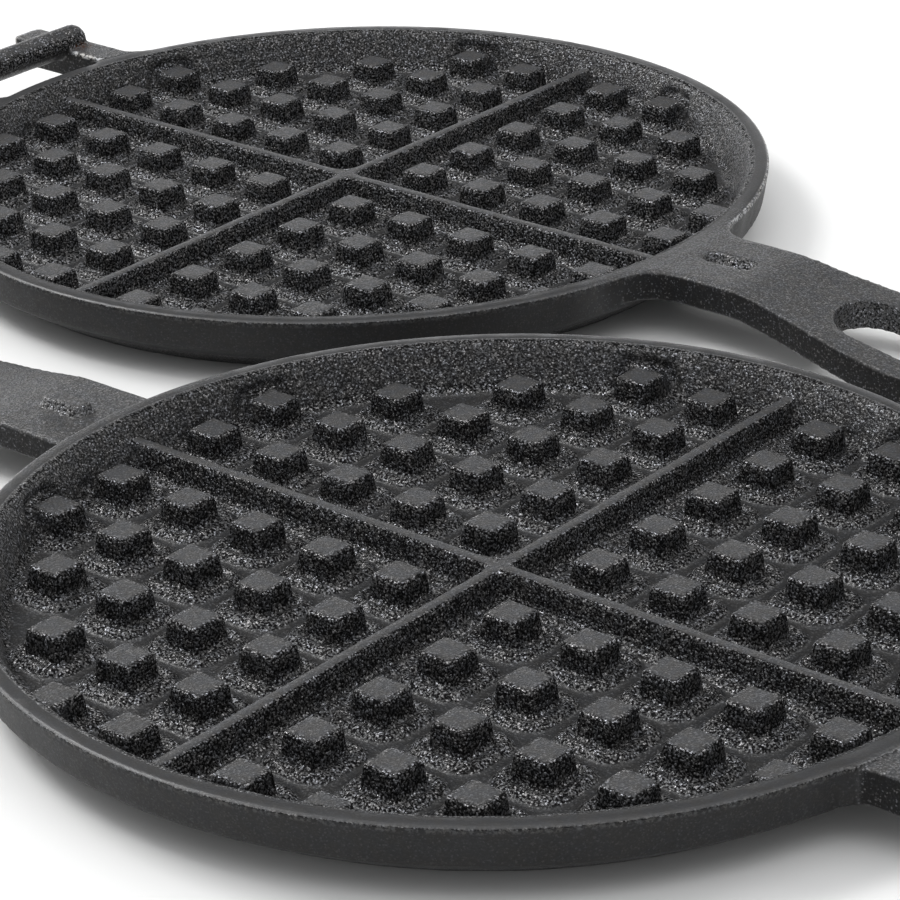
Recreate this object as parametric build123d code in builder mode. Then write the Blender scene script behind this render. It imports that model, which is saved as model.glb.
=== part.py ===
from build123d import *
import math
import os

# Cast-iron pie iron for waffles: two round halves that hook together at a hinge bar.
# Both halves lie open side by side, baking faces up, each with its long slotted handle.
# Row frame: +Z up, table at z = 0, origin at the middle of the footprint.
# The lower half's handle points to +X, the upper half's handle to -X.

# ---- driving dimensions, mm ----
PITCH = 17.0            # stud to stud
FIRST = 12.6            # plate centre to first stud row
STUD_TOP = 7.3          # square stud, across the top
STUD_DRAFT = 6.5        # degrees
REACH = 88.0            # studs further out than this are left off

LAND_Z = 14.7           # ground rim face, where the halves meet
STUD_Z = 11.0           # stud and rib tops
FLOOR_Z = 5.4           # baking floor
RECESS_Z = 1.4          # underside inside the foot ring
FOOT_R = 84.0           # outside of the foot ring
FOOT_IN = 79.0          # inside of the foot ring
RIM_R = 95.7            # outside of the rim at the land
LAND_IN = 92.0          # inside of the land
WALL_FOOT_R = 86.9      # where the sloped wall meets the floor
SKIRT_R = 94.4          # foot of the outer wall
SKIRT_Z = 7.1

RIB_TOP = 2.7           # rib width at the top
RIB_BASE = 5.3          # rib width at the floor
RIB_END = 90.6

HANDLE_END = 255.0      # plate centre to handle tip
NECK_W = 25.4           # handle width at the neck
GRIP_W = 32.6           # handle width along the grip
BEND_1 = 116.5          # handle starts down here
BEND_2 = 157.0          # and levels out here
DROP = 7.0
HANDLE_T = 6.3          # lower half's handle thickness
STEP_UPPER = 2.1        # upper handle lies this far under its land
HANDLE_T_UPPER = 5.5
SLOT_IN, SLOT_OUT = 134.5, 240.0
SLOT_W = 18.0
POCKET_X, POCKET_Y = 106.3, 0.4
POCKET_L, POCKET_W, POCKET_D = 12.2, 5.0, 2.4
BOSS_X = 107.4
BOSS_L, BOSS_W, BOSS_H = 11.2, 5.2, 1.9

HINGE_X = 109.8         # plate centre to hinge axis
BAR_Z = 15.8            # bar axis, just above the land
HOOK_Z = 2 * LAND_Z - BAR_Z   # hook axis, so that the lands meet when the halves are hooked and closed
BAR_R = 3.65
BAR_HALF = 25.6
EAR_IN, EAR_OUT = 17.4, 26.2
EAR_END = 126.0
EAR_T = 6.8
HINGE_NECK_END = 104.6
HOOK_HALF = 16.2
HOOK_IN = 4.05          # bar radius plus running room
HOOK_OUT = 8.4
HOOK_TIP = 35.0         # degrees the lip comes up past the axis

SEP_X, SEP_Y = 151.4, 132.0   # lower plate centre to upper plate centre

# ---- placing both halves about the row origin ----
AX = -((-EAR_END) + (SEP_X + HINGE_X + HOOK_OUT)) / 2
AY = SEP_Y / 2
lower_at = Plane(origin=(AX, AY, 0), x_dir=(1, 0, 0), z_dir=(0, 0, 1))
upper_at = Plane(origin=(AX + SEP_X, AY - SEP_Y, 0), x_dir=(-1, 0, 0), z_dir=(0, 0, 1))


def side(at):
    """The half's upright plane: local x along its handle, local y up."""
    return Plane(origin=at.origin, x_dir=at.x_dir, z_dir=-at.y_dir)


def cross(at):
    """The half's upright plane across the handle: local x along the hinge line, local y up."""
    return Plane(origin=at.origin, x_dir=at.y_dir, z_dir=at.x_dir)


def stud_points():
    pts = []
    for i in range(5):
        for j in range(5):
            x, y = FIRST + i * PITCH, FIRST + j * PITCH
            if math.hypot(x, y) <= REACH:
                pts += [(x, y), (-x, y), (x, -y), (-x, -y)]
    return pts


os.makedirs("parts", exist_ok=True)


# ---------------------------------------------------------------- dish: floor and rim
def make_floor(at, label):
    """Round floor with a foot ring under its edge."""
    with BuildPart() as floor:
        with BuildSketch(side(at)):
            with BuildLine():
                Polyline(
                    (0, RECESS_Z),
                    (FOOT_IN - RECESS_Z, RECESS_Z),
                    (FOOT_IN, 0),
                    (FOOT_R, 0),
                    (FOOT_R, FLOOR_Z),
                    (0, FLOOR_Z),
                    (0, RECESS_Z),
                )
            make_face()
        revolve(axis=Axis(at.origin, (0, 0, 1)))
    floor.part.label = label
    return floor


def make_rim(at, label):
    """Flared wall around the floor, with a flat ground land on top."""
    with BuildPart() as rim:
        with BuildSketch(side(at)):
            with BuildLine():
                Polyline(
                    (FOOT_R, 0),
                    (SKIRT_R - 1.2, SKIRT_Z - 0.9),
                    (SKIRT_R, SKIRT_Z),
                    (RIM_R - 0.12, LAND_Z - 0.5),
                    (RIM_R - 0.5, LAND_Z),
                    (LAND_IN + 0.1, LAND_Z),
                    (LAND_IN - 0.5, LAND_Z - 0.2),
                    (LAND_IN - 0.95, LAND_Z - 0.7),
                    (LAND_IN - 1.3, LAND_Z - 1.4),
                    (WALL_FOOT_R + 0.95, FLOOR_Z + 1.65),
                    (WALL_FOOT_R + 0.1, FLOOR_Z + 0.6),
                    (WALL_FOOT_R - 1.4, FLOOR_Z),
                    (FOOT_R, FLOOR_Z),
                    (FOOT_R, 0),
                )
            make_face()
        revolve(axis=Axis(at.origin, (0, 0, 1)))
    rim.part.label = label
    return rim


lower_floor = make_floor(lower_at, "lower_plate_floor")
upper_floor = make_floor(upper_at, "upper_plate_floor")
lower_rim = make_rim(lower_at, "lower_plate_rim")
upper_rim = make_rim(upper_at, "upper_plate_rim")

# ---------------------------------------------------------------- waffle studs
stud_h = STUD_Z - FLOOR_Z
stud_base = STUD_TOP + 2 * stud_h * math.tan(math.radians(STUD_DRAFT))

with BuildPart() as stud:
    with BuildSketch(Plane.XY.offset(FLOOR_Z)):
        RectangleRounded(stud_base, stud_base, 1.2)
    with BuildSketch(Plane.XY.offset(STUD_Z - 0.35)):
        RectangleRounded(STUD_TOP + 0.1, STUD_TOP + 0.1, 0.8)
    loft(ruled=True)
    with BuildSketch(Plane.XY.offset(STUD_Z - 0.35)):
        RectangleRounded(STUD_TOP + 0.1, STUD_TOP + 0.1, 0.8)
    with BuildSketch(Plane.XY.offset(STUD_Z)):
        RectangleRounded(STUD_TOP - 0.7, STUD_TOP - 0.7, 0.6)
    loft(ruled=True)


def make_studs(at, wall, label):
    """The outermost studs run into the sloped wall, so the wall is taken out of them."""
    with BuildPart() as studs:
        with Locations(at):
            with Locations(*[(x, y, 0) for x, y in stud_points()]):
                add(stud.part)
        add(wall, mode=Mode.SUBTRACT)
    studs.part.label = label
    return studs


lower_studs = make_studs(lower_at, lower_rim.part, "lower_plate_studs")
upper_studs = make_studs(upper_at, upper_rim.part, "upper_plate_studs")


# ---------------------------------------------------------------- quarter ribs
def make_ribs(at, wall, label):
    """Cross that parts the waffle into quarters."""
    with BuildPart() as ribs:
        for plane in (cross(at), side(at)):
            with BuildSketch(plane):
                with BuildLine():
                    Polyline(
                        (-RIB_BASE / 2, FLOOR_Z),
                        (RIB_BASE / 2, FLOOR_Z),
                        (RIB_TOP / 2, STUD_Z - 0.3),
                        (RIB_TOP / 2 - 0.35, STUD_Z),
                        (-RIB_TOP / 2 + 0.35, STUD_Z),
                        (-RIB_TOP / 2, STUD_Z - 0.3),
                        (-RIB_BASE / 2, FLOOR_Z),
                    )
                make_face()
            extrude(amount=RIB_END, both=True)
        add(wall, mode=Mode.SUBTRACT)
    ribs.part.label = label
    return ribs


lower_ribs = make_ribs(lower_at, lower_rim.part, "lower_plate_ribs")
upper_ribs = make_ribs(upper_at, upper_rim.part, "upper_plate_ribs")


# ---------------------------------------------------------------- handles
def rim_fillet(half_w, r):
    """Where a neck of this half width runs into the round rim: points on the rim, mid fillet and on the neck."""
    cx = math.sqrt((RIM_R + r) ** 2 - (half_w + r) ** 2)
    on_rim = (RIM_R / (RIM_R + r) * cx, RIM_R / (RIM_R + r) * (half_w + r))
    a0 = math.atan2(on_rim[1] - (half_w + r), on_rim[0] - cx)
    if a0 > 0:
        a0 -= 2 * math.pi
    am = (a0 - math.pi / 2) / 2
    mid = (cx + r * math.cos(am), half_w + r + r * math.sin(am))
    return on_rim, mid, (cx, half_w)


def embed(p, r_in=93.2):
    k = r_in / math.hypot(*p)
    return (p[0] * k, p[1] * k)


def make_handle(at, wall, label, top_z, thick, fillet_r):
    """Flat slotted handle: level neck, a gentle bend down, then a level grip close to the table."""
    rim_p, mid_p, neck_p = rim_fillet(NECK_W / 2, fillet_r)
    inner = embed(rim_p)
    g = GRIP_W / 2
    tip = HANDLE_END - g
    with BuildPart() as handle:
        with BuildSketch(side(at)):
            with BuildLine():
                FilletPolyline(
                    (85, top_z - thick),
                    (BEND_1, top_z - thick),
                    (BEND_2, top_z - thick - DROP),
                    (HANDLE_END + 5, top_z - thick - DROP),
                    radius=38,
                )
                FilletPolyline(
                    (85, top_z),
                    (BEND_1, top_z),
                    (BEND_2, top_z - DROP),
                    (HANDLE_END + 5, top_z - DROP),
                    radius=38,
                )
                Line((85, top_z - thick), (85, top_z))
                Line((HANDLE_END + 5, top_z - thick - DROP), (HANDLE_END + 5, top_z - DROP))
            make_face()
        extrude(amount=40, both=True)
        with BuildSketch(at.offset(-5)):
            with BuildLine():
                Line(inner, rim_p)
                ThreePointArc(rim_p, mid_p, neck_p)
                Line(neck_p, (BEND_1 - 1, NECK_W / 2))
                Spline(
                    (BEND_1 - 1, NECK_W / 2),
                    (131, 13.9),
                    (152, g),
                    tangents=((1, 0), (1, 0)),
                )
                Line((152, g), (tip, g))
                ThreePointArc((tip, g), (HANDLE_END, 0), (tip, -g))
                Line((152, -g), (tip, -g))
                Spline(
                    (BEND_1 - 1, -NECK_W / 2),
                    (131, -13.9),
                    (152, -g),
                    tangents=((1, 0), (1, 0)),
                )
                Line((neck_p[0], -neck_p[1]), (BEND_1 - 1, -NECK_W / 2))
                ThreePointArc((rim_p[0], -rim_p[1]), (mid_p[0], -mid_p[1]), (neck_p[0], -neck_p[1]))
                Line((inner[0], -inner[1]), (rim_p[0], -rim_p[1]))
                ThreePointArc(inner, (93.2, 0), (inner[0], -inner[1]))
            make_face()
        extrude(amount=30, mode=Mode.INTERSECT)
        with BuildSketch(at.offset(-5)):
            with Locations(((SLOT_IN + SLOT_OUT) / 2, 0)):
                SlotOverall(SLOT_OUT - SLOT_IN, SLOT_W)
        extrude(amount=30, mode=Mode.SUBTRACT)
        add(wall, mode=Mode.SUBTRACT)
    handle.part.label = label
    return handle


lower_handle = make_handle(lower_at, lower_rim.part, "lower_handle", LAND_Z, HANDLE_T, 8.0)

# shallow pocket with sloped sides in the neck
with BuildPart() as pocket:
    with BuildSketch(lower_at.offset(LAND_Z - POCKET_D)):
        with Locations((POCKET_X, POCKET_Y)):
            RectangleRounded(POCKET_L - 2.4, POCKET_W - 2.0, 1.0)
    with BuildSketch(lower_at.offset(LAND_Z + 0.3)):
        with Locations((POCKET_X, POCKET_Y)):
            RectangleRounded(POCKET_L + 0.4, POCKET_W + 0.35, 2.1)
    loft(ruled=True)

with BuildPart() as lower_handle_cut:
    add(lower_handle.part)
    add(pocket.part, mode=Mode.SUBTRACT)
lower_handle_cut.part.label = "lower_handle"

upper_handle = make_handle(upper_at, upper_rim.part, "upper_handle", LAND_Z - STEP_UPPER, HANDLE_T_UPPER, 3.0)

# low boss on the upper handle's neck, over against the lower handle's pocket
with BuildPart() as upper_boss:
    with BuildSketch(upper_at.offset(LAND_Z - STEP_UPPER)):
        with Locations((BOSS_X, 0)):
            RectangleRounded(BOSS_L, BOSS_W, 1.6)
    with BuildSketch(upper_at.offset(LAND_Z - STEP_UPPER + BOSS_H)):
        with Locations((BOSS_X, 0)):
            RectangleRounded(BOSS_L - 1.5, BOSS_W - 1.5, 0.9)
    loft(ruled=True)
upper_boss.part.label = "upper_handle_boss"

# ---------------------------------------------------------------- hinge, lower half: ears and bar
with BuildPart() as hinge_bar:
    bar_plane = Plane(
        origin=lower_at.from_local_coords(Vector(-HINGE_X, -BAR_HALF, BAR_Z)),
        x_dir=lower_at.x_dir,
        z_dir=lower_at.y_dir,
    )
    with BuildSketch(bar_plane):
        Circle(BAR_R)
    extrude(amount=2 * BAR_HALF)
    fillet(hinge_bar.edges().filter_by(GeomType.CIRCLE), radius=3.3)
hinge_bar.part.label = "lower_hinge_bar"

ear_rim, ear_mid, ear_neck = rim_fillet(EAR_OUT, 6.0)
ear_root = embed(ear_rim)
inner_root = (-math.sqrt(93.2**2 - (EAR_IN - 3.0) ** 2), EAR_IN - 3.0)
inner_wall = (-math.sqrt((RIM_R - 0.3) ** 2 - (EAR_IN - 3.0) ** 2), EAR_IN - 3.0)
with BuildPart() as hinge_ears:
    with BuildSketch(lower_at.offset(LAND_Z - EAR_T)):
        with BuildLine():
            Line((-ear_root[0], ear_root[1]), (-ear_rim[0], ear_rim[1]))
            ThreePointArc(
                (-ear_rim[0], ear_rim[1]), (-ear_mid[0], ear_mid[1]), (-ear_neck[0], ear_neck[1])
            )
            FilletPolyline(
                (-ear_neck[0], ear_neck[1]),
                (-EAR_END, EAR_OUT),
                (-EAR_END, EAR_IN),
                (inner_wall[0] - 3.2, EAR_IN),
                radius=(1.6, 1.4),
            )
            TangentArc(
                (inner_wall[0] - 3.2, EAR_IN), inner_wall, tangent=(1, 0)
            )
            Line(inner_wall, inner_root)
            ThreePointArc(
                inner_root,
                (-93.2 * math.cos(math.radians(14)), 93.2 * math.sin(math.radians(14))),
                (-ear_root[0], ear_root[1]),
            )
        make_face()
        mirror(about=Plane.XZ)
    extrude(amount=EAR_T)
    add(lower_rim.part, mode=Mode.SUBTRACT)
    add(hinge_bar.part, mode=Mode.SUBTRACT)
hinge_ears.part.label = "lower_hinge_ears"

# ---------------------------------------------------------------- hinge, upper half: neck and hook
hn_rim, hn_mid, hn_neck = rim_fillet(EAR_OUT - 0.4, 5.0)
hn_root = embed(hn_rim)
with BuildPart() as hinge_neck:
    with BuildSketch(upper_at.offset(LAND_Z - EAR_T)):
        with BuildLine():
            Line((-hn_root[0], hn_root[1]), (-hn_rim[0], hn_rim[1]))
            ThreePointArc((-hn_rim[0], hn_rim[1]), (-hn_mid[0], hn_mid[1]), (-hn_neck[0], hn_neck[1]))
            FilletPolyline(
                (-hn_neck[0], hn_neck[1]),
                (-HINGE_NECK_END, hn_neck[1]),
                (-HINGE_NECK_END, -hn_neck[1]),
                (-hn_neck[0], -hn_neck[1]),
                radius=3.5,
            )
            ThreePointArc((-hn_neck[0], -hn_neck[1]), (-hn_mid[0], -hn_mid[1]), (-hn_rim[0], -hn_rim[1]))
            Line((-hn_rim[0], -hn_rim[1]), (-hn_root[0], -hn_root[1]))
            ThreePointArc((-hn_root[0], -hn_root[1]), (-93.2, 0), (-hn_root[0], hn_root[1]))
        make_face()
    extrude(amount=EAR_T)
    add(upper_rim.part, mode=Mode.SUBTRACT)
hinge_neck.part.label = "upper_hinge_neck"

tip_a = math.radians(HOOK_TIP)
mid_r = (HOOK_IN + HOOK_OUT) / 2
hx, hz = -HINGE_X, HOOK_Z
tip_in = (hx - HOOK_IN * math.cos(tip_a), hz + HOOK_IN * math.sin(tip_a))
tip_out = (hx - HOOK_OUT * math.cos(tip_a), hz + HOOK_OUT * math.sin(tip_a))
tip_rad = (HOOK_OUT - HOOK_IN) / 2
tip_mid = (
    hx - mid_r * math.cos(tip_a) + tip_rad * math.sin(tip_a),
    hz + mid_r * math.sin(tip_a) + tip_rad * math.cos(tip_a),
)
with BuildPart() as hinge_hook:
    with BuildSketch(side(upper_at)):
        with BuildLine():
            Line((-HINGE_NECK_END, LAND_Z - EAR_T), (-HINGE_NECK_END, LAND_Z - 0.2))
            Line((-HINGE_NECK_END, LAND_Z - 0.2), (-HINGE_NECK_END - 0.2, LAND_Z))
            Line((-HINGE_NECK_END - 0.2, LAND_Z), (hx + HOOK_IN, LAND_Z))
            Line((hx + HOOK_IN, LAND_Z), (hx + HOOK_IN, hz))
            ThreePointArc((hx + HOOK_IN, hz), (hx, hz - HOOK_IN), (hx - HOOK_IN, hz))
            ThreePointArc(
                (hx - HOOK_IN, hz),
                (hx - HOOK_IN * math.cos(tip_a / 2), hz + HOOK_IN * math.sin(tip_a / 2)),
                tip_in,
            )
            ThreePointArc(tip_in, tip_mid, tip_out)
            ThreePointArc(
                tip_out,
                (hx - HOOK_OUT * math.cos(math.radians(-20)), hz + HOOK_OUT * math.sin(math.radians(-20))),
                (hx, hz - HOOK_OUT),
            )
            Line((hx, hz - HOOK_OUT), (hx + 3.6, LAND_Z - EAR_T - 0.35))
            Line((hx + 3.6, LAND_Z - EAR_T - 0.35), (-HINGE_NECK_END, LAND_Z - EAR_T))
        make_face()
    extrude(amount=HOOK_HALF, both=True)
hinge_hook.part.label = "upper_hinge_hook"

# ---------------------------------------------------------------- export
pieces = {
    "lower_plate_floor": lower_floor,
    "lower_plate_rim": lower_rim,
    "lower_plate_studs": lower_studs,
    "lower_plate_ribs": lower_ribs,
    "lower_handle": lower_handle_cut,
    "lower_hinge_ears": hinge_ears,
    "lower_hinge_bar": hinge_bar,
    "upper_plate_floor": upper_floor,
    "upper_plate_rim": upper_rim,
    "upper_plate_studs": upper_studs,
    "upper_plate_ribs": upper_ribs,
    "upper_handle": upper_handle,
    "upper_handle_boss": upper_boss,
    "upper_hinge_neck": hinge_neck,
    "upper_hinge_hook": hinge_hook,
}
for name, piece in pieces.items():
    export_step(piece.part, f"parts/{name}.step")
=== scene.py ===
import math

import bmesh
import bpy
import numpy as np
from mathutils import Matrix, Vector


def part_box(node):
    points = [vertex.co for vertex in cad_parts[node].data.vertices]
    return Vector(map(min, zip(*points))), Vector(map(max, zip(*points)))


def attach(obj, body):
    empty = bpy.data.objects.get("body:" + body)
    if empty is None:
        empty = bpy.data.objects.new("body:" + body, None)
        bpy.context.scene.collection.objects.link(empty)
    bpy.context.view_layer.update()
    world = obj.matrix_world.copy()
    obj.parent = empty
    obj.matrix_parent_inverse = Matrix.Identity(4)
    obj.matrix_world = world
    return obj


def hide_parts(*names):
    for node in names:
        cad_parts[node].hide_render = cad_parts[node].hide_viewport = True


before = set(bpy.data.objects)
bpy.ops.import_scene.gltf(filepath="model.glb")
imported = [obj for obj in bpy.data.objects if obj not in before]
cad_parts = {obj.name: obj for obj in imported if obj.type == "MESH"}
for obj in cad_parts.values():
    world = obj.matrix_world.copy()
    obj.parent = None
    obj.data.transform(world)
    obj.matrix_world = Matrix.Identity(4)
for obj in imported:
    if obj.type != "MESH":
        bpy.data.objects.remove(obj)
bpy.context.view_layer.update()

MM = 0.001
LAND_Z, STUD_Z, FLOOR_Z = 14.7, 11.0, 5.4
PITCH, FIRST, REACH = 17.0, 12.6, 88.0
STUD_TOP, DRAFT = 7.3, 0.114
RIB_FOOT = 2.6

# centres of the two plates, read from the imported nodes
lo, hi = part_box("lower_plate_rim")
A0 = np.array([(lo.x + hi.x) / 2, (lo.y + hi.y) / 2])
lo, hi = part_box("upper_plate_rim")
B0 = np.array([(lo.x + hi.x) / 2, (lo.y + hi.y) / 2])


def node_mesh(names, centre, turn):
    """Vertices (mm, in the half's own frame) and faces of several CAD nodes together."""
    vs, fs, n = [], [], 0
    for name in names:
        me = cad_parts[name].data
        me.calc_loop_triangles()
        co = np.zeros(len(me.vertices) * 3, np.float32)
        me.vertices.foreach_get("co", co)
        co = co.reshape(-1, 3).astype(float)
        tri = np.zeros(len(me.loop_triangles) * 3, np.int32)
        me.loop_triangles.foreach_get("vertices", tri)
        tri = tri.reshape(-1, 3)
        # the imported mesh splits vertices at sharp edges, so they are joined again here
        key = np.round(co * 1e6).astype(np.int64)
        _, first, inv = np.unique(key, axis=0, return_index=True, return_inverse=True)
        inv = inv.reshape(-1)
        co, tri = co[first], inv[tri]
        tri = tri[(tri[:, 0] != tri[:, 1]) & (tri[:, 1] != tri[:, 2]) & (tri[:, 0] != tri[:, 2])]
        local = np.empty_like(co)
        local[:, 0] = (co[:, 0] - centre[0]) * turn / MM
        local[:, 1] = (co[:, 1] - centre[1]) * turn / MM
        local[:, 2] = co[:, 2] / MM
        vs.append(local)
        fs.append(tri + n)
        n += len(local)
    return np.concatenate(vs), np.concatenate(fs)


def stud_centres():
    pts = []
    for i in range(5):
        for j in range(5):
            x, y = FIRST + i * PITCH, FIRST + j * PITCH
            if math.hypot(x, y) <= REACH:
                pts += [(x, y), (-x, y), (x, -y), (-x, -y)]
    return pts


def loft(rings):
    """Closed solid through stacked rings of equal point count."""
    n = len(rings[0])
    vs = [p for ring in rings for p in ring]
    fs = []
    for k in range(len(rings) - 1):
        for i in range(n):
            a, b = k * n + i, k * n + (i + 1) % n
            fs += [(a, b, b + n), (a, b + n, a + n)]
    for i in range(1, n - 1):
        fs.append((0, i + 1, i))
        t = (len(rings) - 1) * n
        fs.append((t, t + i, t + i + 1))
    return vs, fs


def squircle(cx, cy, half, r, z, n=6):
    pts = []
    for q in range(4):
        ax = (1, -1, -1, 1)[q] * (half - r)
        ay = (1, 1, -1, -1)[q] * (half - r)
        for k in range(n + 1):
            t = math.radians(90 * q + 90 * k / n)
            pts.append((cx + ax + r * math.cos(t), cy + ay + r * math.sin(t), z))
    return pts


def collars():
    """Low pillow that the pattern leaves round the foot of every stud, and a bead along both sides of each rib."""
    vs, fs, n = [], [], 0

    def put(v, f):
        nonlocal vs, fs, n
        vs += v
        fs += [tuple(i + n for i in t) for t in f]
        n += len(v)

    foot = STUD_TOP / 2 + (STUD_Z - FLOOR_Z) * DRAFT
    swell = ((0.0, 0.15), (0.35, 0.55), (0.8, 1.05), (1.3, 1.32), (1.85, 1.28), (2.35, 0.96), (2.8, 0.52), (3.2, 0.18), (3.6, 0.0))
    for cx, cy in stud_centres():
        rings = [squircle(cx, cy, foot + 3.8, 4.9, FLOOR_Z - 0.8)]
        rings += [squircle(cx, cy, foot + d, 1.1 + d * 1.05, FLOOR_Z + h) for d, h in reversed(swell)]
        put(*loft(rings))
    prof = [(RIB_FOOT + 3.4, -0.8)] + [(RIB_FOOT + d * 0.88, h * 0.86) for d, h in reversed(swell)]
    prof = prof + [(-a, b) for a, b in reversed(prof)]
    for turn_ in (0, 1):
        rings = []
        for end in (-85.5, 85.5):
            ring = [(end, a, FLOOR_Z + b) if turn_ == 0 else (-a, end, FLOOR_Z + b) for a, b in prof]
            rings.append(ring)
        put(*loft(rings))
    vs = np.array(vs)
    out = np.hypot(vs[:, 0], vs[:, 1])
    k = np.minimum(1.0, 87.4 / np.maximum(out, 1.0))
    vs[:, 0] *= k
    vs[:, 1] *= k
    return vs, np.array(fs)


def gusset(turn):
    """Web that rounds the four inner corners where the ribs cross, poured fuller on one side."""
    radii = (1.4, 4.6, 1.4, 2.8) if turn > 0 else (1.4, 2.8, 1.4, 4.6)

    def ring(h, z, n=8):
        pts = []
        for q, r in enumerate(radii):
            e = h + r
            c, s = math.cos(math.radians(90 * q)), math.sin(math.radians(90 * q))
            for k in range(n + 1):
                t = math.radians(270 - 90 * k / n)
                x, y = e + r * math.cos(t), e + r * math.sin(t)
                pts.append((x * c - y * s, x * s + y * c, z))
        return pts
    return loft([ring(2.4, FLOOR_Z - 0.5), ring(1.32, STUD_Z - 0.1)])


def cast(name, nodes, centre, turn, body):
    """One continuous casting: the half's solids fused, softened at every edge as poured iron is, and put back."""
    v, f = node_mesh(nodes, centre, turn)
    cad_lo, cad_hi = v.min(axis=0), v.max(axis=0)
    for extra in (collars(), gusset(turn)):
        ev, ef = np.array(extra[0]), np.array(extra[1])
        f = np.concatenate([f, ef + len(v)])
        v = np.concatenate([v, ev])
    me = bpy.data.meshes.new(name)
    me.from_pydata((v * MM).tolist(), [], f.tolist())
    me.validate()
    me.update()
    ob = bpy.data.objects.new(name, me)
    bpy.context.scene.collection.objects.link(ob)
    m = ob.modifiers.new("fuse", "REMESH")
    m.mode = "VOXEL"
    m.voxel_size = 0.4 * MM
    m.use_smooth_shade = True
    dg = bpy.context.evaluated_depsgraph_get()
    fused = bpy.data.meshes.new_from_object(ob.evaluated_get(dg))
    ob.modifiers.clear()
    ob.data = fused
    print(name, "fused", len(fused.vertices), len(fused.polygons))

    co = np.zeros(len(fused.vertices) * 3, np.float32)
    fused.vertices.foreach_get("co", co)
    co = co.reshape(-1, 3) / MM
    r = np.hypot(co[:, 0], co[:, 1])
    z = co[:, 2]

    def group(label, w):
        g = ob.vertex_groups.new(name=label)
        w = np.clip(w, 0, 1)
        q = np.round(w * 20).astype(int)
        for level in range(1, 21):
            idx = np.nonzero(q == level)[0]
            if len(idx):
                g.add(idx.tolist(), level / 20, "REPLACE")
        return g

    def step(v, a, b):
        t = np.clip((v - a) / (b - a), 0, 1)
        return t * t * (3 - 2 * t)

    # the wall is scooped back round the studs that reach into it
    push = np.zeros(len(co))
    for cx, cy in stud_centres():
        if math.hypot(cx, cy) < 80:
            continue
        dx, dy = np.abs(co[:, 0] - cx), np.abs(co[:, 1] - cy)
        half = STUD_TOP / 2 + (STUD_Z - np.clip(z, FLOOR_Z, 16)) * DRAFT
        qx, qy = np.maximum(dx - half + 1.0, 0), np.maximum(dy - half + 1.0, 0)
        away = np.hypot(qx, qy) + np.minimum(np.maximum(dx, dy) - half + 1.0, 0) - 1.0
        near = step(away, 0.2, 0.6) * (1 - step(away, 0.9, 3.4))
        above = 0.75 * step(z, STUD_Z + 0.1, STUD_Z + 0.5) * (away < 0.6)
        push = np.maximum(push, np.maximum(near, above))
    wall = (r > 85.6) & (r < 91.6) & (z > 6.0)
    push *= wall * step(z, 6.2, 8.0) * (1 - step(z, 11.2, 13.4))
    co[:, 0] += co[:, 0] / np.maximum(r, 1) * push * 1.25
    co[:, 1] += co[:, 1] / np.maximum(r, 1) * push * 1.25
    fused.vertices.foreach_set("co", (co * MM).reshape(-1).astype(np.float32))

    low = 0.7 * np.clip((5.75 - z) / 0.35, 0, 1) * (r < 90.5) * (z > 4.9)
    crest = 0.65 * ((z > 9.9) & (z < 11.6) & (r < 86.0))
    ends = (r > 86.0) * (r < 91.2) * (z > 6.0) * (np.minimum(np.abs(co[:, 0]), np.abs(co[:, 1])) < 5) * 0.8
    fine = (np.abs(co[:, 0] - 106.5) < 9) & (np.abs(co[:, 1]) < 4.5)
    arms = (r > 97.5) * np.where(fine, 0.0, 0.7)
    knuckle = (co[:, 0] < -103) * (np.abs(co[:, 1]) > 19.5) * (z > 13.2) * 1.0
    group("foot", np.maximum(np.maximum(np.maximum(low, crest), ends), np.maximum(arms, knuckle)))
    m = ob.modifiers.new("edges", "SMOOTH")
    m.factor = 0.5
    m.iterations = 2
    m = ob.modifiers.new("feet", "SMOOTH")
    m.factor = 0.5
    m.iterations = 7
    m.vertex_group = "foot"
    dg = bpy.context.evaluated_depsgraph_get()
    soft = bpy.data.meshes.new_from_object(ob.evaluated_get(dg))
    ob.modifiers.clear()
    ob.data = soft

    # uneven skin of the sand mould
    land = ((r > 92.0) & (r < 96.2) & (z > 14.0)).astype(float)
    group("skin", 1 - 0.92 * land)
    for label, kind, size, strength, depth in (("swell", "CLOUDS", 9.0, 0.16, 1), ("grain", "CLOUDS", 0.9, 0.10, 2)):
        t = bpy.data.textures.new(name + "_" + label, kind)
        t.noise_scale = size * MM
        t.noise_depth = depth
        m = ob.modifiers.new(label, "DISPLACE")
        m.texture = t
        m.texture_coords = "LOCAL"
        m.strength = strength * MM
        m.mid_level = 0.5
        m.vertex_group = "skin"
    m = ob.modifiers.new("thin", "DECIMATE")
    m.ratio = min(1.0, 98000 / max(1, len(soft.polygons)))
    dg = bpy.context.evaluated_depsgraph_get()
    made = bpy.data.meshes.new_from_object(ob.evaluated_get(dg))
    ob.modifiers.clear()
    ob.vertex_groups.clear()
    ob.data = made
    print(name, "made", len(made.vertices), len(made.polygons))

    co = np.zeros(len(made.vertices) * 3, np.float32)
    made.vertices.foreach_get("co", co)
    co = co.reshape(-1, 3)
    co = np.clip(co, cad_lo * MM, cad_hi * MM)
    local = co / MM
    att = made.attributes.new("own", "FLOAT_VECTOR", "POINT")
    att.data.foreach_set("vector", local.astype(np.float32).reshape(-1))
    world = co.copy()
    world[:, 0] = co[:, 0] * turn + centre[0]
    world[:, 1] = co[:, 1] * turn + centre[1]
    made.vertices.foreach_set("co", world.reshape(-1).astype(np.float32))
    made.polygons.foreach_set("use_smooth", [True] * len(made.polygons))
    made.update()
    made.materials.clear()
    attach(ob, body)
    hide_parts(*nodes)
    return ob


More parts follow.
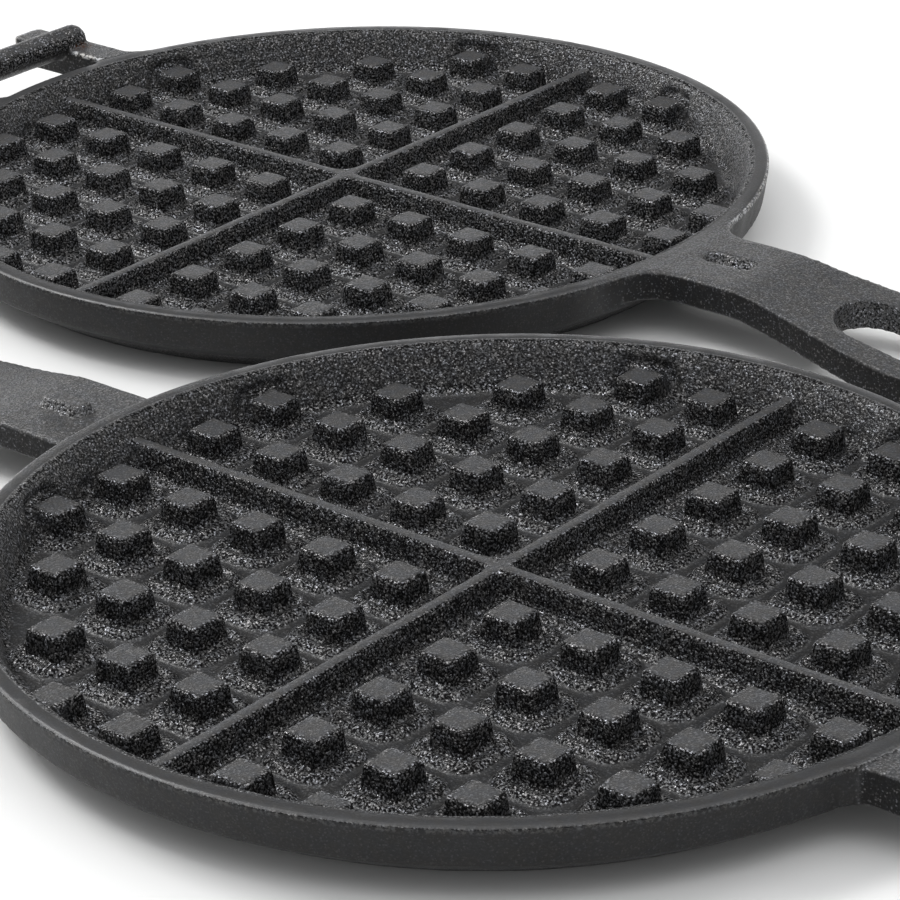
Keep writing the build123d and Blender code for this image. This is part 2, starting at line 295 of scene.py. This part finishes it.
def iron(name):
    """Bare cast iron: sand-cast grain on walls and studs, satin floor, ground rim face."""
    mat = bpy.data.materials.new(name)
    mat.use_nodes = True
    nt = mat.node_tree
    nt.nodes.clear()
    N, L = nt.nodes.new, nt.links.new
    out = N("ShaderNodeOutputMaterial")
    sh = N("ShaderNodeBsdfPrincipled")
    L(sh.outputs[0], out.inputs[0])
    own = N("ShaderNodeAttribute")
    own.attribute_name = "own"
    sep = N("ShaderNodeSeparateXYZ")
    L(own.outputs["Vector"], sep.inputs[0])

    def m(op, a, b=None, c=None, clamp=False):
        n = N("ShaderNodeMath")
        n.operation = op
        n.use_clamp = clamp
        for i, v in enumerate((a, b, c)):
            if v is None:
                continue
            if isinstance(v, (int, float)):
                n.inputs[i].default_value = v
            else:
                L(v, n.inputs[i])
        return n.outputs[0]

    def ramp(v, a, b, x=0.0, y=1.0):
        n = N("ShaderNodeMapRange")
        n.interpolation_type = "SMOOTHSTEP"
        n.inputs["From Min"].default_value = a
        n.inputs["From Max"].default_value = b
        n.inputs["To Min"].default_value = x
        n.inputs["To Max"].default_value = y
        L(v, n.inputs["Value"])
        return n.outputs[0]

    def noise(scale, detail=2.0, rough=0.5, stretch=None):
        n = N("ShaderNodeTexNoise")
        n.inputs["Detail"].default_value = detail
        n.inputs["Roughness"].default_value = rough
        n.inputs["Scale"].default_value = scale
        L(own.outputs["Vector"], n.inputs["Vector"])
        return n.outputs[0]

    def cells(scale, feature="F1"):
        n = N("ShaderNodeTexVoronoi")
        n.feature = feature
        n.inputs["Scale"].default_value = scale
        L(own.outputs["Vector"], n.inputs["Vector"])
        return n

    def both(a, b):
        return m("MULTIPLY", a, b)

    def mixc(f, a, b):
        n = N("ShaderNodeMix")
        n.data_type = "RGBA"
        n.clamp_factor = True
        L(f, n.inputs["Factor"])
        for v, slot_ in ((a, "A"), (b, "B")):
            if isinstance(v, tuple):
                n.inputs[slot_].default_value = v
            else:
                L(v, n.inputs[slot_])
        return n.outputs["Result"]

    x, y, z = sep.outputs
    r = m("SQRT", m("ADD", both(x, x), both(y, y)))
    tc = N("ShaderNodeTexCoord")
    nsep = N("ShaderNodeSeparateXYZ")
    L(tc.outputs["Normal"], nsep.inputs[0])
    up = nsep.outputs[2]

    inside = ramp(r, 92.6, 91.9)
    steep = ramp(up, 0.90, 0.60)
    flat = ramp(up, 0.86, 0.97)
    ax, ay = m("ABSOLUTE", x), m("ABSOLUTE", y)
    # where a handle leaves the rim the ground face runs out into the handle's skin
    neck = both(both(ramp(x, 76.0, 90.0), ramp(ay, 34.0, 20.0)), ramp(r, 91.6, 96.8))
    land = both(both(ramp(z, 13.9, 14.35), ramp(r, 91.9, 92.7)), both(ramp(r, 96.6, 95.9), ramp(up, 0.45, 0.8)))
    land = both(land, m("SUBTRACT", 1.0, m("MULTIPLY", neck, 0.85)))
    wob = m("MULTIPLY", m("SUBTRACT", noise(0.75, 1.0, 0.5), 0.5), 0.9)
    zw = m("ADD", z, wob)
    valley = both(both(ramp(zw, 6.3, 5.35), inside), ramp(up, 0.80, 0.98))
    skirt = both(both(ramp(z, 7.4, 6.7), ramp(z, 5.42, 5.75)), inside)

    def from_stud(v):
        f = m("FRACT", m("ADD", m("DIVIDE", m("SUBTRACT", v, FIRST), PITCH), 10.5))
        return m("MULTIPLY", m("ABSOLUTE", m("SUBTRACT", f, 0.5)), PITCH)

    stud_mid = ramp(m("ADD", m("MAXIMUM", from_stud(ax), from_stud(ay)), wob), 3.7, 2.1)
    rib_mid = ramp(m("ADD", m("MINIMUM", ax, ay), m("MULTIPLY", wob, 0.5)), 1.6, 0.6)
    crown = both(both(ramp(z, 10.3, 10.7), ramp(z, 12.4, 11.6)), both(inside, ramp(up, 0.5, 0.8)))
    tops = both(both(crown, flat), m("MAXIMUM", stud_mid, rib_mid))
    brim = m("SUBTRACT", crown, tops, clamp=True)
    bar = both(both(ramp(z, 14.8, 15.3), ramp(x, -103.0, -104.5)), ramp(ay, 26.0, 24.5))
    # sloping sides of the pocket and the boss, and the walls of the slot
    nub = both(both(ramp(m("ABSOLUTE", m("SUBTRACT", x, 107.0)), 8.0, 7.2), ramp(ay, 4.2, 3.6)), ramp(up, 0.97, 0.84))
    slot = both(both(ramp(x, 130.0, 132.0), ramp(ay, 10.4, 9.8)), ramp(up, 0.7, 0.4))
    nub = m("MAXIMUM", nub, slot)
    outer = both(both(ramp(r, 91.0, 92.5), ramp(up, 0.5, 0.2)), ramp(r, 97.4, 96.4))
    handle = both(both(m("MAXIMUM", ramp(r, 96.2, 97.5), neck), m("SUBTRACT", 1.0, bar)), m("SUBTRACT", 1.0, nub))
    side_wall = both(both(handle, ramp(up, 0.45, 0.15)), ramp(up, -0.5, -0.2))
    under = ramp(up, -0.3, -0.8)

    wall = both(both(ramp(r, 84.0, 87.0), ramp(z, 6.5, 8.0)), both(inside, steep))

    # how coarse the skin is: full on walls and stud sides, fine on what was rammed flat or ground
    coarse = m("SUBTRACT", 1.0, m("MULTIPLY", land, 0.93))
    coarse = both(coarse, m("SUBTRACT", 1.0, m("MULTIPLY", valley, 0.70)))
    coarse = both(coarse, m("SUBTRACT", 1.0, m("MULTIPLY", tops, 0.66)))
    coarse = both(coarse, m("SUBTRACT", 1.0, m("MULTIPLY", outer, 0.90)))
    coarse = both(coarse, m("SUBTRACT", 1.0, m("MULTIPLY", handle, 0.48)))
    coarse = both(coarse, m("SUBTRACT", 1.0, m("MULTIPLY", side_wall, 0.60)))
    coarse = both(coarse, m("SUBTRACT", 1.0, m("MULTIPLY", wall, 0.22)))
    coarse = both(coarse, m("SUBTRACT", 1.0, m("MULTIPLY", both(bar, ramp(up, 0.45, 0.8)), 0.6)))
    coarse = both(coarse, m("SUBTRACT", 1.0, m("MULTIPLY", under, 0.5)))

    n1 = ramp(noise(2.1, 2.5, 0.62), 0.34, 0.66)
    n2 = noise(5.5, 1.0, 0.5)
    n3 = noise(0.10, 2.0, 0.5)
    n4 = noise(0.75, 1.0, 0.5)
    v1 = cells(2.35)
    pick = N("ShaderNodeSeparateXYZ")
    L(v1.outputs["Color"], pick.inputs[0])
    luck = pick.outputs[0]
    crystal = m("SUBTRACT", 1.0, m("MULTIPLY", v1.outputs["Distance"], 1.45), clamp=True)
    grain = m("ADD", m("MULTIPLY", n1, 0.42), both(m("MULTIPLY", crystal, 0.62), m("ADD", 0.30, m("MULTIPLY", luck, 0.70))))

    height = both(grain, coarse)
    height = m("ADD", height, m("MULTIPLY", both(n4, coarse), 0.8))
    height = m("ADD", height, m("MULTIPLY", n2, 0.07))
    bump = N("ShaderNodeBump")
    bump.inputs["Strength"].default_value = 1.0
    bump.inputs["Distance"].default_value = 0.00022
    L(height, bump.inputs["Height"])
    L(bump.outputs[0], sh.inputs["Normal"])

    # colour: the pits are painted near black, painted shade standing in for the shade in them; crests are grey and a
    # few crystals are bright
    cr = N("ShaderNodeValToRGB")
    e = cr.color_ramp.elements
    e[0].position, e[0].color = 0.20, (0.0045, 0.0045, 0.0046, 1)
    e[1].position, e[1].color = 0.76, (0.082, 0.082, 0.084, 1)
    k = e.new(0.46)
    k.color = (0.024, 0.024, 0.0245, 1)
    # the sides of the boss, pocket and slot are lifted lighter as a painted highlight; the pillows and inner walls a
    # little lighter in tone
    tone = m("ADD", grain, m("ADD", m("ADD", m("MULTIPLY", skirt, 0.05), m("MULTIPLY", wall, 0.07)), m("MULTIPLY", nub, 0.20)))
    L(tone, cr.inputs[0])
    cs = N("ShaderNodeValToRGB")
    e = cs.color_ramp.elements
    e[0].position, e[0].color = 0.30, (0.026, 0.026, 0.0265, 1)
    e[1].position, e[1].color = 0.70, (0.044, 0.044, 0.045, 1)
    L(m("ADD", m("MULTIPLY", n3, 0.6), m("MULTIPLY", n2, 0.4)), cs.inputs[0])
    col = mixc(coarse, cs.outputs[0], cr.outputs[0])
    # the floor between the studs is made darker, partly painted shade between the studs
    col = mixc(m("MULTIPLY", valley, 0.8), col, (0.010, 0.010, 0.0103, 1))
    col = mixc(m("MULTIPLY", tops, 0.4), col, (0.056, 0.056, 0.057, 1))
    col = mixc(m("MULTIPLY", land, 0.7), col, (0.018, 0.018, 0.0184, 1))
    # handle tops made lighter, partly painted light that falls on them
    col = mixc(m("MULTIPLY", both(handle, m("SUBTRACT", 1.0, side_wall)), 0.20), col, (0.085, 0.085, 0.086, 1))
    # painted highlight, partly real: bright metallic crystals set thickest on the pillows, the rounded top edges, the
    # bar, the boss and the walls, where highlights fall
    spark = m("MAXIMUM", m("MAXIMUM", m("MULTIPLY", skirt, 0.88), nub), m("MAXIMUM", brim, bar))
    spark = m("MAXIMUM", spark, m("MAXIMUM", m("MAXIMUM", m("MULTIPLY", coarse, 0.35), m("MULTIPLY", handle, 0.22)), m("MULTIPLY", wall, 0.7)))
    glint = both(both(ramp(grain, 0.40, 0.56), ramp(m("ADD", luck, m("MULTIPLY", brim, 0.20)), 0.60, 0.86)), spark)
    # painted shade: the outer wall and the handles' side walls are darkened toward black for the shade on them, and
    # made duller
    dull_and_shade = m("MAXIMUM", m("MULTIPLY", both(outer, m("SUBTRACT", 1.0, neck)), 0.8), side_wall)
    col = mixc(m("MULTIPLY", dull_and_shade, 0.85), col, (0.007, 0.007, 0.0072, 1))
    col = mixc(m("MULTIPLY", glint, 0.85), col, (0.42, 0.42, 0.44, 1))
    # painted highlight: bright speckles along the outer edge of the ground rim face, heaviest on one side of the
    # handle, and painted glints on the edges of the hinge ears
    free = m("ADD", both(ramp(y, 15.0, 22.0), ramp(x, 38.0, 72.0)), 0.10, clamp=True)
    painted_edge_glints = both(both(ramp(r, 94.95, 95.3), ramp(r, 96.5, 96.1)), both(ramp(z, 13.2, 13.9), ramp(noise(1.3, 2.0, 0.7), 0.46, 0.58)))
    painted_edge_glints = both(painted_edge_glints, free)
    lip = both(both(ramp(m("ABSOLUTE", m("SUBTRACT", ay, 17.5)), 1.3, 0.5), ramp(m("ABSOLUTE", m("ADD", x, 100.0)), 5.6, 4.2)), ramp(z, 13.6, 14.2))
    tip = both(both(ramp(x, -124.2, -125.4), ramp(ay, 16.5, 17.5)), ramp(z, 9.5, 11.0))
    hinge_glints = both(m("MAXIMUM", lip, tip), ramp(noise(1.0, 2.0, 0.7), 0.44, 0.54))
    painted_edge_glints = m("MAXIMUM", painted_edge_glints, hinge_glints)
    col = mixc(m("MULTIPLY", painted_edge_glints, 0.8), col, (0.45, 0.45, 0.445, 1))
    # faint warm and cool drift of the bare metal, and a touch of rust under the bar's end
    tint = N("ShaderNodeMix")
    tint.data_type = "RGBA"
    tint.inputs["A"].default_value = (1.03, 1.0, 0.96, 1)
    tint.inputs["B"].default_value = (0.98, 1.0, 1.04, 1)
    L(ramp(noise(0.35, 2.0, 0.6), 0.40, 0.60), tint.inputs["Factor"])
    tinted = N("ShaderNodeMix")
    tinted.data_type = "RGBA"
    tinted.blend_type = "MULTIPLY"
    tinted.inputs["Factor"].default_value = 1.0
    L(col, tinted.inputs["A"])
    L(tint.outputs["Result"], tinted.inputs["B"])
    dx, dy, dz = m("ADD", x, 105.6), m("SUBTRACT", ay, 21.5), m("SUBTRACT", z, 14.4)
    far = m("SQRT", m("ADD", both(dx, dx), m("ADD", m("MULTIPLY", both(dy, dy), 0.4), both(dz, dz))))
    rust = both(ramp(far, 2.6, 0.8), ramp(noise(1.2, 2.0, 0.6), 0.42, 0.6))
    col = mixc(m("MULTIPLY", rust, 0.7), tinted.outputs["Result"], (0.075, 0.030, 0.014, 1))
    L(col, sh.inputs["Base Color"])

    rough = m("SUBTRACT", 0.36, m("MULTIPLY", both(m("SUBTRACT", grain, 0.42), coarse), 0.60))
    rough = m("ADD", rough, m("MULTIPLY", m("MAXIMUM", rust, dull_and_shade), 0.2))
    L(rough, sh.inputs["Roughness"])
    sh.inputs["IOR"].default_value = 1.5
    # painted shade: the specular level is cut in the bottoms of the pits, standing in for the shade there
    pits = m("SUBTRACT", 1.0, m("MULTIPLY", both(coarse, ramp(tone, 0.43, 0.24)), 0.94))
    shine = both(pits, m("SUBTRACT", 0.5, m("MULTIPLY", dull_and_shade, 0.30)))
    shine = m("ADD", shine, both(m("MULTIPLY", ramp(tone, 0.36, 0.60), 0.40), coarse))
    L(shine, sh.inputs["Specular IOR Level"])
    L(m("ADD", m("MULTIPLY", glint, 0.8), 0.05, clamp=True), sh.inputs["Metallic"])
    return mat


LOWER = [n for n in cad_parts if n.startswith("lower_")]
UPPER = [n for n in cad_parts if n.startswith("upper_")]
lower = cast("lower_casting", sorted(LOWER), A0, 1, "lower_half")
upper = cast("upper_casting", sorted(UPPER), B0, -1, "upper_half")
mat = iron("cast_iron_skin")
for ob in (lower, upper):
    ob.data.materials.append(mat)

# ------------------------------------------------------------ floor
bm = bmesh.new()
bmesh.ops.create_grid(bm, x_segments=8, y_segments=8, size=4.0)
fl = bpy.data.meshes.new("table_top")
bm.to_mesh(fl)
bm.free()
floor = bpy.data.objects.new("table_top", fl)
bpy.context.scene.collection.objects.link(floor)
floor.location.z = -0.0002
fmat = bpy.data.materials.new("table_pale")
fmat.use_nodes = True
fsh = fmat.node_tree.nodes["Principled BSDF"]
fsh.inputs["Base Color"].default_value = (0.80, 0.80, 0.79, 1)
fsh.inputs["Roughness"].default_value = 0.32
fl.materials.append(fmat)

# ------------------------------------------------------------ light
CEILING = (0.08, 1.5)
SWEEP = 2.0
world = bpy.data.worlds.new("studio")
world.use_nodes = True
wt = world.node_tree
bg = wt.nodes["Background"]
bg.inputs[0].default_value = (0.98, 0.985, 1.0, 1)
# a wide white ceiling that falls off to dim walls
geo = wt.nodes.new("ShaderNodeTexCoord")
wsep = wt.nodes.new("ShaderNodeSeparateXYZ")
wt.links.new(geo.outputs["Generated"], wsep.inputs[0])
wmap = wt.nodes.new("ShaderNodeMapRange")
wmap.interpolation_type = "SMOOTHSTEP"
wmap.inputs["From Min"].default_value = 0.60
wmap.inputs["From Max"].default_value = 0.88
wmap.inputs["To Min"].default_value = CEILING[0]
wmap.inputs["To Max"].default_value = CEILING[1]
wt.links.new(wsep.outputs[2], wmap.inputs["Value"])
# a fainter fill from the front
fdot = wt.nodes.new("ShaderNodeVectorMath")
fdot.operation = "DOT_PRODUCT"
fdot.inputs[1].default_value = (0.65, -0.76, 0.25)
wt.links.new(geo.outputs["Generated"], fdot.inputs[0])
fmap = wt.nodes.new("ShaderNodeMapRange")
fmap.interpolation_type = "SMOOTHSTEP"
fmap.inputs["From Min"].default_value = 0.05
fmap.inputs["From Max"].default_value = 0.75
fmap.inputs["To Min"].default_value = 0.0
fmap.inputs["To Max"].default_value = 0.55
wt.links.new(fdot.outputs["Value"], fmap.inputs["Value"])
wsum = wt.nodes.new("ShaderNodeMath")
wsum.operation = "ADD"
wt.links.new(wmap.outputs[0], wsum.inputs[0])
wt.links.new(fmap.outputs[0], wsum.inputs[1])
# the white sweep at the back and left, bright only close to the horizon
sdot = wt.nodes.new("ShaderNodeVectorMath")
sdot.operation = "DOT_PRODUCT"
sdot.inputs[1].default_value = (-0.80, 0.60, 0.0)
wt.links.new(geo.outputs["Generated"], sdot.inputs[0])
smap = wt.nodes.new("ShaderNodeMapRange")
smap.interpolation_type = "SMOOTHSTEP"
smap.inputs["From Min"].default_value = -0.30
smap.inputs["From Max"].default_value = 0.35
smap.inputs["To Max"].default_value = SWEEP
wt.links.new(sdot.outputs["Value"], smap.inputs["Value"])
hmap = wt.nodes.new("ShaderNodeMapRange")
hmap.interpolation_type = "SMOOTHSTEP"
hmap.inputs["From Min"].default_value = 0.30
hmap.inputs["From Max"].default_value = 0.12
wt.links.new(wsep.outputs[2], hmap.inputs["Value"])
sweep = wt.nodes.new("ShaderNodeMath")
sweep.operation = "MULTIPLY_ADD"
wt.links.new(smap.outputs[0], sweep.inputs[0])
wt.links.new(hmap.outputs[0], sweep.inputs[1])
wt.links.new(wsum.outputs[0], sweep.inputs[2])
wt.links.new(sweep.outputs[0], bg.inputs[1])
bpy.context.scene.world = world
bpy.context.scene.view_settings.view_transform = "Standard"


def lamp(name, at, to, size, power, size_y=None, colour=(1, 1, 1)):
    d = bpy.data.lights.new(name, "AREA")
    d.energy = power
    d.color = colour
    d.shape = "RECTANGLE"
    d.size = size
    d.size_y = size_y or size
    o = bpy.data.objects.new(name, d)
    bpy.context.scene.collection.objects.link(o)
    o.location = at
    way = Vector(to) - Vector(at)
    o.rotation_euler = way.to_track_quat("-Z", "Y").to_euler()
    return o


lamp("key_softbox", (-1.12, -0.28, 1.42), (0, 0, 0), 0.85, 18, 0.48)
lamp("left_softbox", (-1.46, 0.16, 0.62), (0, 0, 0.05), 0.80, 8, 1.0)
lamp("back_softbox", (0.45, 1.20, 1.00), (0, 0, 0), 0.45, 4, 0.45)

# ------------------------------------------------------------ camera at the photograph's viewing angle
cam = bpy.data.cameras.new("view")
cam.sensor_width = 36
cam.lens = 141.962
cam.clip_start = 0.05
cam.clip_end = 20
co = bpy.data.objects.new("view", cam)
bpy.context.scene.collection.objects.link(co)
right = Vector((0.7697046490145061, 0.6378444638507714, -0.026630681936028633))
down = Vector((0.2507165856610837, -0.34038337153620507, -0.906245195328557))
ahead = Vector((-0.5871081220353749, 0.6908643863426219, -0.42191284967813886))
pos = Vector((29.77821105 * 0.017 + A0[0], -33.06659779 * 0.017 + A0[1], 16.58499731 * 0.017 + 0.01105))
M = Matrix((right, -down, -ahead)).transposed().to_4x4()
M.translation = pos
co.matrix_world = M
bpy.context.scene.camera = co
